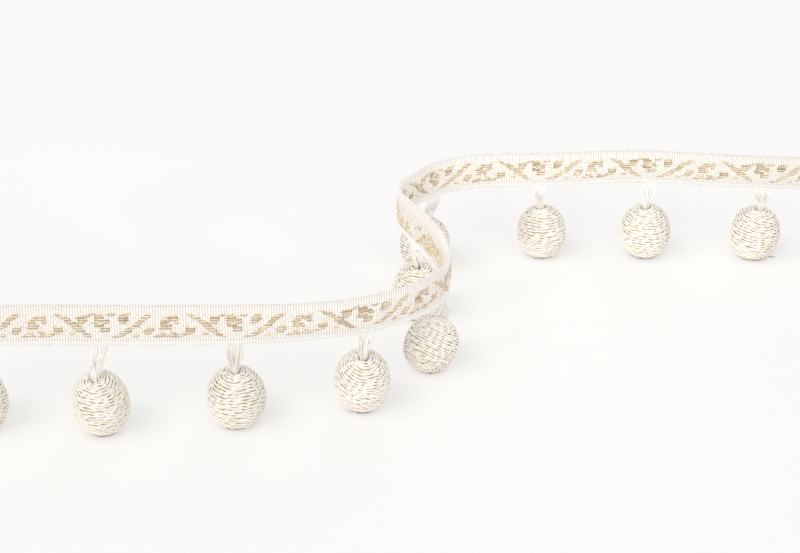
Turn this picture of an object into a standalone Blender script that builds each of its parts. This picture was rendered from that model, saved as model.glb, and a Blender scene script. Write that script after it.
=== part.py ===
"""Pompom fringe trim: a figured woven tape that stands in a loose S on the balls of its fringe.

Ten balls wound with cord hang under the tape on short bundles of thread, and all ten rest on
the ground, so the tape is held upright above them.  Units are metres, +Z is up, and the origin
is on the ground at the middle of the plan.

The pieces are the tape (one long woven sheet), the stems (a strip parted from the tape's lower
edge with the threads that hang from it) and the balls (a cord wound from the hole to the foot).
"""
import math
from collections import namedtuple

import bmesh
import bpy
import numpy as np
from mathutils import Vector

MM = 0.001
TINY = 1e-6

# The tape
PITCH = 43.0 * MM                  # from one ball to the next, measured along the tape
TAPE_WIDTH = 14.0 * MM
TAPE_THICKNESS = 1.0 * MM
TAPE_MIDDLE_Z = 38.5 * MM
FIGURE_RELIEF = 0.35 * MM          # the figured band stands proud of the ribbed borders
FIGURE_TOP = 4.3 * MM              # the band's edges, up and down from the tape's middle line
FIGURE_BOTTOM = -4.1 * MM
FIGURE_SLOPE = 0.4 * MM
EDGE_ROUNDING = 0.2 * MM
TAPE_STEPS_PER_PITCH = 14
TRACE_STEP = 0.25 * MM             # step of the sum that turns headings into a plan
FIRST_BALL_ROOT = Vector((-139.27 * MM, -63.85 * MM))

# How the tape runs in plan.  "at" counts ball pitches from the first ball, "heading" is the
# way the tape goes, in degrees from +X, and "lean" tips its top edge to the figured side.
Station = namedtuple("Station", "at heading lean")
STATIONS = (
    Station(-0.50, 0.0, -9.5),
    Station(1.50, 0.0, -9.5),
    Station(2.00, 2.0, -5.0),
    Station(2.60, 10.0, 2.0),
    Station(3.10, 26.0, 4.5),
    Station(3.50, 44.0, 3.5),
    Station(3.80, 62.5, 2.0),
    Station(4.10, 96.5, 3.0),
    Station(4.50, 108.0, 13.0),
    Station(5.10, 114.0, 8.0),
    Station(5.35, 96.5, 1.5),
    Station(5.60, 59.0, 1.0),
    Station(5.90, 50.5, 2.0),
    Station(6.30, 19.0, 2.5),
    Station(6.80, 2.5, 3.0),
    Station(7.50, 6.0, 4.5),
    Station(8.30, -8.0, 6.0),
    Station(9.00, -5.5, 7.5),
    Station(9.50, 0.5, 8.0),
)

# The balls.  "along" and "out" place a ball from the tape's lower edge at its own pitch mark,
# in mm, forward and to the figured side; "width" and "height" are its size as it rests, in mm;
# "tip" tilts its hole from upright towards the compass angle "towards", both in degrees; "root"
# shifts the place where its threads leave the tape, in mm along it.
Ball = namedtuple("Ball", "along out width height tip towards root")
BALLS = (
    Ball(0.6, 0.4, 18.9, 21.5, 6.0, -70.0, 0.6),
    Ball(-1.9, 2.1, 18.7, 23.1, 17.0, -103.0, -1.2),
    Ball(-0.6, -2.8, 19.7, 20.9, 4.0, -90.0, -0.2),
    Ball(0.8, -4.6, 19.2, 22.0, 15.0, -75.0, 0.3),
    Ball(3.0, -5.5, 19.0, 19.5, 32.0, 40.0, 0.4),
    Ball(-0.2, 3.4, 19.4, 21.4, 5.0, -100.0, -0.6),
    Ball(0.3, -4.1, 19.4, 20.9, 8.0, 40.0, 0.4),
    Ball(2.7, -4.1, 19.1, 20.7, 4.0, 160.0, 0.8),
    Ball(0.2, -1.1, 19.6, 21.4, 5.0, -120.0, 0.3),
    Ball(-0.1, -4.4, 19.3, 21.2, 6.0, -20.0, 0.5),
)
BALL_SINK = 0.8 * MM               # how far the round form would reach below its flat foot
BALL_FULLNESS = 2.2                # 2 is an ellipse, more is squarer, like a barrel
HOLE_RADIUS = 1.9 * MM
HOLE_DEPTH = 2.6 * MM
LIP = 0.9 * MM                     # how far the hole's rounded lip reaches
WIND_TURNS = 10
WIND_STEPS = 20                    # points in one turn
WIND_RIDGE = 0.5 * MM              # height of a turn over the groove beside it
FLOOR_CLIMB = 0.3 * MM             # the winding's first turn rises this much on the hole's floor
WIND_END = 1.5 * MM                # the winding's last radius, below the foot, cut off there

# The stems
GAP = 0.3 * MM                     # between any two pieces
STRANDS = 8
STRAND_SIZE = 0.45 * MM
STRAND_PITCH = 0.72 * MM
STRAND_STEPS = 4
STRAND_RING = 1.05 * MM            # the strands gather on this radius in the ball's hole
STRIP_HEIGHT = 0.8 * MM
STRIP_THICKNESS = 1.0 * MM
STRAND_STIFFNESS = 0.4             # how far a strand keeps its direction at each end

TAPE_COLOUR = (0.87, 0.81, 0.72)
BALL_COLOUR = (0.82, 0.76, 0.66)
STEM_COLOUR = (0.88, 0.84, 0.77)


def clear_scene():
    for item in list(bpy.data.objects):
        bpy.data.objects.remove(item, do_unlink=True)


def make_material(name, colour, roughness):
    material = bpy.data.materials.new(name)
    material.use_nodes = True
    shader = material.node_tree.nodes["Principled BSDF"]
    shader.inputs["Base Color"].default_value = (*colour, 1.0)
    shader.inputs["Roughness"].default_value = roughness
    shader.inputs["Metallic"].default_value = 0.0
    return material


def add_object(name, data, material, collection):
    item = bpy.data.objects.new(name, data)
    data.materials.append(material)
    collection.objects.link(item)
    return item


def ease_between(places, values, at):
    """Read a column at any place, smoothly and with no overshoot between its rows."""
    widths = np.diff(places)
    rises = np.diff(values) / widths
    slopes = np.zeros(len(places))
    slopes[0] = rises[0]
    slopes[-1] = rises[-1]
    for i in range(1, len(places) - 1):
        if rises[i - 1] * rises[i] > 0:
            before = 2 * widths[i] + widths[i - 1]
            after = widths[i] + 2 * widths[i - 1]
            slopes[i] = (before + after) / (before / rises[i - 1] + after / rises[i])
    i = np.clip(np.searchsorted(places, at, side="right") - 1, 0, len(widths) - 1)
    t = (at - places[i]) / widths[i]
    start = (2 * t**3 - 3 * t**2 + 1) * values[i] + (t**3 - 2 * t**2 + t) * widths[i] * slopes[i]
    end = (3 * t**2 - 2 * t**3) * values[i + 1] + (t**3 - t**2) * widths[i] * slopes[i + 1]
    return start + end


class TapePath:
    """The tape's middle line: its plan, its heading and its lean at any distance."""

    def __init__(self):
        places = np.array([row.at for row in STATIONS]) * PITCH
        steps = round((places[-1] - places[0]) / TRACE_STEP)
        self.distance = np.linspace(places[0], places[-1], steps + 1)
        headings = np.radians([row.heading for row in STATIONS])
        leans = np.radians([row.lean for row in STATIONS])
        self.heading = ease_between(places, headings, self.distance)
        self.lean = ease_between(places, leans, self.distance)
        middle = (self.heading[1:] + self.heading[:-1]) / 2
        step = self.distance[1] - self.distance[0]
        x = np.concatenate(([0.0], np.cumsum(np.cos(middle)) * step))
        y = np.concatenate(([0.0], np.cumsum(np.sin(middle)) * step))
        self.x = x - np.interp(0.0, self.distance, x) + FIRST_BALL_ROOT.x
        self.y = y - np.interp(0.0, self.distance, y) + FIRST_BALL_ROOT.y

    def lean_at(self, distance):
        return float(np.interp(distance, self.distance, self.lean))

    def frame(self, distance):
        """The middle point, the direction along, the figured face's normal and the way up."""
        x = np.interp(distance, self.distance, self.x)
        y = np.interp(distance, self.distance, self.y)
        heading = float(np.interp(distance, self.distance, self.heading))
        lean = self.lean_at(distance)
        along = Vector((math.cos(heading), math.sin(heading), 0.0))
        side = Vector((along.y, -along.x, 0.0))
        up = Vector((0.0, 0.0, 1.0)) * math.cos(lean) + side * math.sin(lean)
        face = side * math.cos(lean) - Vector((0.0, 0.0, 1.0)) * math.sin(lean)
        return Vector((x, y, TAPE_MIDDLE_Z)), along, face, up

    def place(self, distance, out, height):
        """A point given along the tape, out from its middle plane and up its width."""
        middle, _, face, up = self.frame(distance)
        return middle + face * out + up * height


def tape_section():
    """The tape's outline across its width, as (out, height) points, clockwise round it."""
    half = TAPE_THICKNESS / 2
    edge = TAPE_WIDTH / 2
    raised = half + FIGURE_RELIEF
    return (
        (-half, -edge + EDGE_ROUNDING),
        (-half, edge - EDGE_ROUNDING),
        (EDGE_ROUNDING - half, edge),
        (half - EDGE_ROUNDING, edge),
        (half, edge - EDGE_ROUNDING),
        (half, FIGURE_TOP + FIGURE_SLOPE),
        (raised, FIGURE_TOP),
        (raised, FIGURE_BOTTOM),
        (half, FIGURE_BOTTOM - FIGURE_SLOPE),
        (half, -edge + EDGE_ROUNDING),
        (half - EDGE_ROUNDING, -edge),
        (EDGE_ROUNDING - half, -edge),
    )


def poly_curve(name, points, dimensions):
    curve = bpy.data.curves.new(name, "CURVE")
    curve.dimensions = dimensions
    spline = curve.splines.new("POLY")
    spline.points.add(len(points) - 1)
    for target, point in zip(spline.points, points):
        target.co = (*point, 1.0)
    return curve


def make_tape(path, material, collection, guides):
    """The tape is its section swept along the path, tilted by the lean at each point."""
    outline = poly_curve("tape_outline", [(*point, 0.0) for point in tape_section()], "2D")
    outline.splines[0].use_cyclic_u = True
    guide = bpy.data.objects.new("tape_section", outline)
    guide.hide_render = True
    guide.display_type = "WIRE"
    guides.objects.link(guide)

    steps = round((path.distance[-1] - path.distance[0]) / PITCH * TAPE_STEPS_PER_PITCH)
    places = np.linspace(path.distance[0], path.distance[-1], steps + 1)
    sweep = poly_curve("tape", [path.frame(place)[0] for place in places], "3D")
    for point, place in zip(sweep.splines[0].points, places):
        point.tilt = path.lean_at(place)
    sweep.twist_mode = "Z_UP"
    sweep.bevel_mode = "OBJECT"
    sweep.bevel_object = guide
    sweep.use_fill_caps = True
    return add_object("tape", sweep, material, collection)


class BallShape:
    """Where one ball stands, and the meridian that its cord is wound on."""

    def __init__(self, path, number):
        row = BALLS[number]
        edge = path.place(number * PITCH, 0.0, -TAPE_WIDTH / 2)
        _, along, face, _ = path.frame(number * PITCH)
        side = Vector((face.x, face.y, 0.0)).normalized()
        tip = math.radians(row.tip)
        towards = math.radians(row.towards)
        level = Vector((math.cos(towards), math.sin(towards), 0.0))
        self.axis = level * math.sin(tip) + Vector((0.0, 0.0, math.cos(tip)))
        self.radius = row.width * MM / 2
        self.half_height = self.fit_half_height(row.height * MM, tip)
        plan = edge + along * row.along * MM + side * row.out * MM
        self.centre = Vector((plan.x, plan.y, row.height * MM - self.reach(tip)))
        self.forward = (along - self.axis * along.dot(self.axis)).normalized()
        self.sideways = self.axis.cross(self.forward)
        self.root = number * PITCH + row.root * MM

    def reach(self, tip):
        """How far the round form reaches up and down from its centre when it is tipped."""
        return math.hypot(self.half_height * math.cos(tip), self.radius * math.sin(tip))

    def fit_half_height(self, height, tip):
        """The half height along the axis that gives the resting height with the foot sunk in."""
        reach = (height + BALL_SINK) / 2
        across = self.radius * math.sin(tip)
        return math.sqrt(reach**2 - across**2) / math.cos(tip)

    def place(self, radius, angle, height):
        """A point given round the ball's own axis, from its centre."""
        outward = self.forward * math.cos(angle) + self.sideways * math.sin(angle)
        return self.centre + outward * radius + self.axis * height

    def meridian(self):
        """(radius, height) points from the hole's bottom, over the lip and down to the foot."""
        lip_radius = HOLE_RADIUS + LIP
        angles = np.linspace(math.pi / 2, -math.pi / 2, 181)[1:-1]
        power = 2.0 / BALL_FULLNESS
        radii = self.radius * np.cos(angles) ** power
        heights = self.half_height * np.sign(angles) * np.abs(np.sin(angles)) ** power
        body = [(r, h) for r, h in zip(radii, heights) if r > (lip_radius if h > 0 else WIND_END)]
        top = body[0][1]
        turns = np.linspace(0.0, math.pi / 2, 5)
        lip = [(lip_radius - LIP * math.cos(t), top - LIP + LIP * math.sin(t)) for t in turns]
        return np.array([(HOLE_RADIUS, top - HOLE_DEPTH)] + lip[:-1] + body)

    def hole_mouth(self):
        return float(self.meridian()[1:, 1].max())


def wound_length(turn, whole):
    """How far down the meridian the cord is after a number of turns; the first climbs little."""
    if turn < 1.0:
        return turn * FLOOR_CLIMB
    return FLOOR_CLIMB + (turn - 1.0) * (whole - FLOOR_CLIMB) / WIND_TURNS


def make_ball(shape, name, material, collection):
    """A ribbon with a ridge along its middle is wound down the meridian, each turn's edge
    joined to the last one's, and the form is then cut level where it rests."""
    meridian = shape.meridian()
    lengths = np.concatenate(([0.0], np.cumsum(np.linalg.norm(np.diff(meridian, axis=0), axis=1))))
    bm = bmesh.new()
    bmesh.ops.create_grid(bm, x_segments=WIND_TURNS * WIND_STEPS, y_segments=2, size=0.5)
    for vertex in bm.verts:
        turn = (vertex.co.x + 0.5) * WIND_TURNS
        across = vertex.co.y + 0.5
        length = wound_length(turn + across, lengths[-1])
        radius = np.interp(length, lengths, meridian[:, 0])
        height = np.interp(length, lengths, meridian[:, 1])
        swell = WIND_RIDGE * (math.sin(math.pi * across) - 0.5)
        outside = min(1.0, length / (HOLE_DEPTH + LIP)) ** 2
        fullness = outside * swell
        bulge = Vector((radius, height)).normalized() * fullness
        vertex.co = shape.place(radius + bulge.x, turn * 2 * math.pi, height + bulge.y)
    bmesh.ops.remove_doubles(bm, verts=bm.verts, dist=TINY)
    bmesh.ops.holes_fill(bm, edges=[edge for edge in bm.edges if edge.is_boundary])
    bmesh.ops.bisect_plane(
        bm, geom=bm.verts[:] + bm.edges[:] + bm.faces[:], dist=TINY,
        plane_co=(0.0, 0.0, 0.0), plane_no=(0.0, 0.0, -1.0), clear_outer=True)
    bmesh.ops.holes_fill(bm, edges=[edge for edge in bm.edges if edge.is_boundary])
    bmesh.ops.triangulate(bm, faces=bm.faces[:])
    bmesh.ops.recalc_face_normals(bm, faces=bm.faces[:])
    return add_mesh(name, bm, material, collection)


def add_mesh(name, bm, material, collection):
    mesh = bpy.data.meshes.new(name)
    bm.to_mesh(mesh)
    bm.free()
    mesh.shade_smooth()
    mesh.set_sharp_from_angle(angle=math.radians(30))
    return add_object(name, mesh, material, collection)


def strand_line(root, mouth, end, axis):
    """Points down one strand: a curve from the strip to the hole's mouth, then straight in."""
    reach = (mouth - root).length * STRAND_STIFFNESS
    leave = root - Vector((0.0, 0.0, reach))
    arrive = mouth + axis * reach
    points = []
    for step in range(1, STRAND_STEPS + 1):
        t = step / STRAND_STEPS
        s = 1.0 - t
        points.append(root * s**3 + leave * 3 * s * s * t + arrive * 3 * s * t * t + mouth * t**3)
    return points + [end]


def make_stem(path, shape, name, material, collection):
    """A strip under the tape's lower edge, with strands drawn down from it into the hole."""
    bm = bmesh.new()
    bmesh.ops.create_cube(bm, size=1.0)
    cells = 2 * STRANDS - 1
    lengthwise = [edge for edge in bm.edges if abs(edge.verts[0].co.x - edge.verts[1].co.x) > 0.5]
    bmesh.ops.subdivide_edges(bm, edges=lengthwise, cuts=cells - 1, use_grid_fill=True)
    bm.faces.ensure_lookup_table()
    under = [face for face in bm.faces if face.normal.z < -0.5]
    under.sort(key=lambda face: face.calc_center_median().x)
    gap_width = STRAND_PITCH - STRAND_SIZE
    for vertex in bm.verts:
        line = round((vertex.co.x + 0.5) * cells)
        distance = (line // 2) * STRAND_PITCH + (line % 2) * STRAND_SIZE
        distance += shape.root - ((STRANDS - 1) * STRAND_PITCH + STRAND_SIZE) / 2
        height = -TAPE_WIDTH / 2 - GAP - STRIP_HEIGHT * (0.5 - vertex.co.z)
        vertex.co = path.place(distance, vertex.co.y * STRIP_THICKNESS, height)
    mouth_height = shape.hole_mouth()
    end_height = mouth_height - HOLE_DEPTH + FLOOR_CLIMB + GAP
    for number, face in enumerate(under[::2]):
        spread = 2.0 * number / (STRANDS - 1) - 1.0
        angle = math.acos(spread) * (1 if number % 2 else -1)
        mouth = shape.place(STRAND_RING, angle, mouth_height)
        end = shape.place(STRAND_RING, angle, end_height)
        draw_strand(bm, face, strand_line(face.calc_center_median(), mouth, end, shape.axis), shape)
    bmesh.ops.triangulate(bm, faces=bm.faces[:])
    bmesh.ops.recalc_face_normals(bm, faces=bm.faces[:])
    return add_mesh(name, bm, material, collection)


def draw_strand(bm, face, line, shape):
    """Draw the root face out along the line, as a square that keeps facing the same way."""
    centre = face.calc_center_median()
    forward = shape.forward
    corners = {}
    for vertex in face.verts:
        offset = vertex.co - centre
        ahead = 1 if offset.dot(forward) > 0 else -1
        beside = 1 if offset.dot(forward.cross(Vector((0.0, 0.0, 1.0)))) > 0 else -1
        corners[vertex] = (ahead, beside)
    previous = centre
    for point in line:
        tangent = (point - previous).normalized()
        ahead_way = (forward - tangent * forward.dot(tangent)).normalized()
        beside_way = ahead_way.cross(-tangent)
        drawn = bmesh.ops.extrude_discrete_faces(bm, faces=[face])["faces"][0]
        moved = {}
        for vertex in drawn.verts:
            source = min(corners, key=lambda other: (other.co - vertex.co).length)
            moved[vertex] = corners[source]
        for vertex, (ahead, beside) in moved.items():
            vertex.co = point + (ahead_way * ahead + beside_way * beside) * STRAND_SIZE / 2
        corners = moved
        face = drawn
        previous = point


def main():
    clear_scene()
    scene = bpy.context.scene.collection
    collection = bpy.data.collections.new("pompom_fringe_trim")
    guides = bpy.data.collections.new("guides")
    scene.children.link(collection)
    scene.children.link(guides)
    tape_material = make_material("tape", TAPE_COLOUR, 0.75)
    ball_material = make_material("ball_cord", BALL_COLOUR, 0.6)
    stem_material = make_material("stem_thread", STEM_COLOUR, 0.65)

    path = TapePath()
    make_tape(path, tape_material, collection, guides)
    for number in range(len(BALLS)):
        shape = BallShape(path, number)
        make_ball(shape, f"ball_{number + 1:02d}", ball_material, collection)
        make_stem(path, shape, f"stem_{number + 1:02d}", stem_material, collection)


main()
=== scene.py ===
"""The looks of the pompom fringe trim: woven tape, cord-wound balls and their thread stems."""
import re
from collections import namedtuple
from math import acos, cos, pi, radians, sin, sqrt

import bpy
import numpy as np
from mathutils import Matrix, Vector


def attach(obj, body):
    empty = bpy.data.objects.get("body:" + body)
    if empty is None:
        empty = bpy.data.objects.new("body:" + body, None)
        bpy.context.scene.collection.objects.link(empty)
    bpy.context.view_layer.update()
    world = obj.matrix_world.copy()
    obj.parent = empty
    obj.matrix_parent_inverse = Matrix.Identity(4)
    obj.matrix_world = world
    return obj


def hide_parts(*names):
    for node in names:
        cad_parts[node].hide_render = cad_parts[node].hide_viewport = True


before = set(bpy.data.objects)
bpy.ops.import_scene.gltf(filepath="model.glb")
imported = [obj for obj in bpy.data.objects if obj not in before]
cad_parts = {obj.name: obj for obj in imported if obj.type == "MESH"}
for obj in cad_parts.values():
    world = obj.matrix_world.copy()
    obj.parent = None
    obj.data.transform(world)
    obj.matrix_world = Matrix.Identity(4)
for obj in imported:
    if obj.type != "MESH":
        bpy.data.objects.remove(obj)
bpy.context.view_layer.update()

MM = 0.001
UP = np.array([0.0, 0.0, 1.0])
TURN = 2 * pi

# The tape, as part.py has it
PITCH = 43.0 * MM  # from ball to ball, and a repeat of the figure
TAPE_WIDTH = 14.0 * MM
TAPE_THICKNESS = 1.0 * MM
TAPE_MIDDLE_Z = 38.5 * MM
TRACE_STEP = 0.25 * MM
FIRST_BALL_ROOT = (-139.27 * MM, -63.85 * MM)
# Places in pitches, and the tape's heading and lean there in degrees
STATIONS = (
    (-0.5, 0.0, -9.5), (1.5, 0.0, -9.5), (2.0, 2.0, -5.0), (2.6, 10.0, 2.0),
    (3.1, 26.0, 4.5), (3.5, 44.0, 3.5), (3.8, 62.5, 2.0), (4.1, 96.5, 3.0),
    (4.5, 108.0, 13.0), (5.1, 114.0, 8.0), (5.35, 96.5, 1.5), (5.6, 59.0, 1.0),
    (5.9, 50.5, 2.0), (6.3, 19.0, 2.5), (6.8, 2.5, 3.0), (7.5, 6.0, 4.5),
    (8.3, -8.0, 6.0), (9.0, -5.5, 7.5), (9.5, 0.5, 8.0),
)

# A smooth random wave: its wavelengths and how far it goes
Wander = namedtuple("Wander", "wavelengths size")

# The weave.  The ribs run up the tape, and a chart has one column for each rib of a repeat.
# The tape's section has rows of points CORNER beside each of its steps.
REPEATS = 10
RIBS_PER_REPEAT = 48
RIB = PITCH / RIBS_PER_REPEAT
COLUMNS_PER_RIB = 4
RIB_RELIEF = 0.14 * MM
RIB_SINK = 0.4  # share of their relief that the ribs' middle lies inside the face
# how narrow the painted shade between the ribs is
GROOVE_NARROWNESS = 2.5
BEAD = 0.66 * MM  # spacing of the threads that cross the ribs
SCALLOP = 0.14 * MM  # how far the ribs stand out of the tape's edges
TAPE_SEED = 3
EDGE_SWAY = Wander((9 * MM, 23 * MM, 61 * MM), 0.05 * MM)
CORNER = 0.1 * MM
BAND_SLOPE = 0.2 * MM
BAND_ROWS = 4
FIGURE_TOP = 4.3 * MM
FIGURE_BOTTOM = -4.1 * MM
BAND_RELIEF = 0.12 * MM
BAND_RIBS = 0.55  # their relief in the band, against the borders'
BAND_WARMTH = 0.3  # how far the band's colour goes to BAND_COLOUR
SELVEDGE_TOP = -5.5 * MM  # below this the tape is thinner and lighter
SELVEDGE_THICKNESS = 0.7  # of the tape's own
SELVEDGE_PALENESS = 0.75

# One repeat of the figure, like a weaver's draft, from halfway between two balls.  A run of one
# mark is a gold float over those ribs: / rises along the tape, \ falls, = and # are nearly
# level, # is darker, and o is level and lighter.
FLOAT_SLANT = 0.08
FIGURE = r"""
.......\\..........//===..===..///......//......
====....\\\\...####..####.....====....////.....=
====......\\\..====..======...####...///......==
..==.......\\\\===...==..##...===...///......###
=...........\\\\.....####..........///.......===
=.....====...\\\\......====......////...===..===
......####....\\\\.....====.....///....====.....
.\\..////...oo..\\\...........////.....===...oo.
.=////............\\........////...oo......////=
""".split()
# One repeat of the back, where the gold shows in patches
REVERSE = r"""
................................................
................................................
...===.==...............................oo......
.//..///......====....................o....//.==
/./..==..//....====..................oo..==./.=.
==../.==.///.......o................ooo.//././.=
.==..//..///..............ooo........oo...///.==
///.//.===..=..............ooo.oo..oo......//.=.
./.===.==..===...........oo.o..ooo..o..oo..==.=.
//.===.=..//.//..........ooo...oo.oo...oo.......
..//..=.....././/......oo..ooo..oo.o..o.........
...............==.....ooo..oo..oo..o............
""".split()
# "top" is the first row's upper edge, "pitch" the height of a row, "side" 1 on the front and
# -1 on the back, and "thread" the width of a gold thread.
Chart = namedtuple("Chart", "rows top pitch side thread")
FRONT = Chart(FIGURE, 4.3 * MM, 0.91 * MM, 1.0, 0.55 * MM)
BACK = Chart(REVERSE, 3.64 * MM, 0.686 * MM, -1.0, 0.38 * MM)
SLANTS = {"/": FLOAT_SLANT, "\\": -FLOAT_SLANT, "=": 0.03, "#": 0.03, "o": 0.0}
TONES = {"/": 1.0, "\\": 0.95, "=": 1.0, "#": 0.65, "o": 1.3}   # 0 is dark, 1 and above light

# The floats.  A gold one is two threads: the lower is thinner, flatter and darker, with painted
# shade under the upper one.
FloatThread = namedtuple("FloatThread", "place width rise deeper")
FLOAT_THREADS = (
    FloatThread(-0.5, 0.7, 0.35 * MM, 0.62),
    FloatThread(0.5, 1.0, 0.55 * MM, 0.0),
)
FLOAT_SPACING = 0.88  # between the two, in thread widths
FLOAT_BEFORE = 0.5  # ribs that a float starts before its first column's middle
FLOAT_AFTER = 0.45  # and ends after the middle of the column that follows it
STAGGER = 0.7  # ribs between the starts of a slanting float's two threads
DULL_THREAD = 0.45  # some threads are this much darker
DULL_SHARE = 0.18  # and this is their share
ROW_SHIFT = 0.06  # how far a float strays up or down, in mm
SLANT_STRAY = 0.05
TONE_STRAY = 0.15
START_STRAY = (-0.4, 0.3)  # in ribs, as is the next
END_STRAY = (-0.3, 0.4)
WIDTH_RANGE = (0.9, 1.15)
RISE_RANGE = (0.8, 1.2)
# The small pale floats between them
GROUND_RISE = 0.24 * MM
GROUND_WIDTH = 0.44 * MM
GROUND_START = (0.0, 0.2)  # in ribs, as is the next
GROUND_LENGTH = (1.2, 1.8)
GROUND_SHIFT = 0.12  # in mm
GROUND_SLANT = 0.08
GROUND_TONE = 0.35  # the lower, the fewer of them are dark
# The form and shade that all floats share
FLOAT_SIDES = 5
FLOAT_STEP = 0.6 * MM
FLOAT_LEAST_STEPS = 4
FLOAT_FLATNESS = 0.7
FLOAT_ROUNDNESS = 0.6  # of its arch: the lower, the fuller it is at its ends
FLOAT_DIVE = 0.75  # share of its rise that a float's ends lie under the face
END_SPREAD = 0.45  # how far apart two threads' ends lie, against their middles
END_WIDTH = 0.3  # how wide a float's end is, against its middle
UNDERSIDE = 0.4  # the higher, the less of a float's underside gets painted shade
END_SHADE = 1.35  # how much painted shade a float's end gets
END_SHADE_FADE = 1.5  # and how fast that fades inwards

# Thread ends at the tape's two cuts, the first five in mm
FRAY_TOP = 6.4
FRAY_SPACING = 0.62
FRAY_REACH = (0.4, 1.3)
FRAY_OUT = 0.25
FRAY_BEND = 0.3
FRAY_SINK = -0.4  # a thread end starts this share of its reach inside
FRAY_RADIUS = 0.13 * MM
FRAY_DEPTH = 0.3
FRAY_TONE = 0.6
FRAY_STEPS = 6
FRAY_SEED = 21

# Loose hairs on the top edge: place in pitches, length and lean
HAIRS = ((6.73, 1.5 * MM, 0.15), (6.98, 1.7 * MM, -0.1))
HAIR_RADIUS = 0.09 * MM
HAIR_SINK = 0.2 * MM
HAIR_OUT = 0.1 * MM
HAIR_DEPTH = 0.9

# The balls, as part.py has them, in mm and degrees.  "along" and "out" are how far one stands
# from under its place on the tape, "tip" is its lean, "towards" where to, and "root" how far
# along the tape its stem starts.
Ball = namedtuple("Ball", "along out width height tip towards root")
BALLS = (
    Ball(0.6, 0.4, 18.9, 21.5, 6.0, -70.0, 0.6),
    Ball(-1.9, 2.1, 18.7, 23.1, 17.0, -103.0, -1.2),
    Ball(-0.6, -2.8, 19.7, 20.9, 4.0, -90.0, -0.2),
    Ball(0.8, -4.6, 19.2, 22.0, 15.0, -75.0, 0.3),
    Ball(3.0, -5.5, 19.0, 19.5, 32.0, 40.0, 0.4),
    Ball(-0.2, 3.4, 19.4, 21.4, 5.0, -100.0, -0.6),
    Ball(0.3, -4.1, 19.4, 20.9, 8.0, 40.0, 0.4),
    Ball(2.7, -4.1, 19.1, 20.7, 4.0, 160.0, 0.8),
    Ball(0.2, -1.1, 19.6, 21.4, 5.0, -120.0, 0.3),
    Ball(-0.1, -4.4, 19.3, 21.2, 6.0, -20.0, 0.5),
)
BALL_SINK = 0.8 * MM
BALL_FULLNESS = 2.2
HOLE_RADIUS = 1.5 * MM
HOLE_DEPTH = 2.6 * MM
LIP = 1.0 * MM
WIND_END = 1.2 * MM
MERIDIAN_POINTS = 361
LIP_POINTS = 9

# The cord, two plies twisted round each other.  BALL_PITCHES has each ball's own pitch in mm,
# and the sizes below are for a cord of the pitch CORD_PITCH.
BALL_SEED = 100
BALL_PITCHES = (1.08, 1.07, 1.05, 1.0, 0.92, 1.05, 1.05, 1.05, 1.02, 1.05)
CORD_PITCH = 1.08 * MM
PLY_RADIUS = 0.32 * MM
PLY_TWIST = 6.4 * MM  # for one turn of a ply
PLY_ACROSS = 0.3 * MM  # how far a ply swings sideways
PLY_RISE = 0.25 * MM  # and in and out
PLY_SIDES = 6
PLY_STEP = 0.58 * MM
TWIST_STRAY = Wander((13 * MM, 31 * MM, 71 * MM), 1.3)  # in radians
ROW_SWELL = 0.26 * MM  # how far the rows bend together
SWELLS_AROUND = (1, 2, 3, 5)  # how often each swell goes round the ball
SWELL_LENGTHS = (12.0, 26.0)  # of a swell down the ball, in mm
ROW_STRAY = Wander((7 * MM, 13 * MM, 23 * MM), 0.12 * MM)  # how far each row strays by itself
ROW_LIFT = Wander((11 * MM, 29 * MM, 53 * MM), 0.07 * MM)
QUIET_LENGTH = 4 * MM  # the rows stray less this near the cord's start
QUIET_LEAST = 0.2
CORD_DEPTH = 0.4 * MM  # the cord's centre lies this far inside the ball's form
FOOT_CLEARANCE = 0.66 * MM  # a cord's centre over the ground
TIP_RADIUS = 0.8 * MM  # the cord turns no tighter than this

# The core that shows between the turns
CORE_DEPTH = 0.7 * MM
CORE_RINGS = 34
CORE_SIDES = 32
CORE_TIP = 0.9 * MM
CORE_CLEARANCE = 0.3 * MM

# The cord's colour is light GROOVE_TOP over its centre and deep GROOVE_SPAN further down: the deep
# colour is partly the cord's own tan and partly painted shade between plies and turns.  The light
# ends higher near the table (more painted shade), and lower on the ball's upper part and round its
# hole (painted light).
GROOVE_TOP = 0.22 * MM
GROOVE_SPAN = 0.54 * MM
Shade = namedtuple("Shade", "reach size")
TABLE_SHADE = Shade(9 * MM, 0.16 * MM)
CROWN_BOTTOM = 11 * MM
CROWN_LIGHT = Shade(8 * MM, 0.07 * MM)
HOLE_LIGHT = Shade(7 * MM, 0.1 * MM)
FOOT_SHADOW_TOP = 2.3 * MM  # the painted contact shadow at the foot starts at this height
FOOT_SHADOW_FADE = 1.4 * MM  # and is full this much lower
STAINS = Wander((9 * MM, 23 * MM, 41 * MM), 1.2)
STAIN_LEVEL = 0.9  # the cord is stained where that wave is above this

# The loose end of a winding, from the point under its ball's centre
TAIL_BALL = 9
TAIL_START = np.array([4.2, -1.2, 0.36]) * MM
TAIL_END = np.array([8.5, -2.4, 0.75]) * MM
TAIL_ARCH = 0.25 * MM
TAIL_RADIUS = 0.3 * MM
TAIL_LENGTH = 5 * MM
TAIL_POINTS = 9

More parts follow.
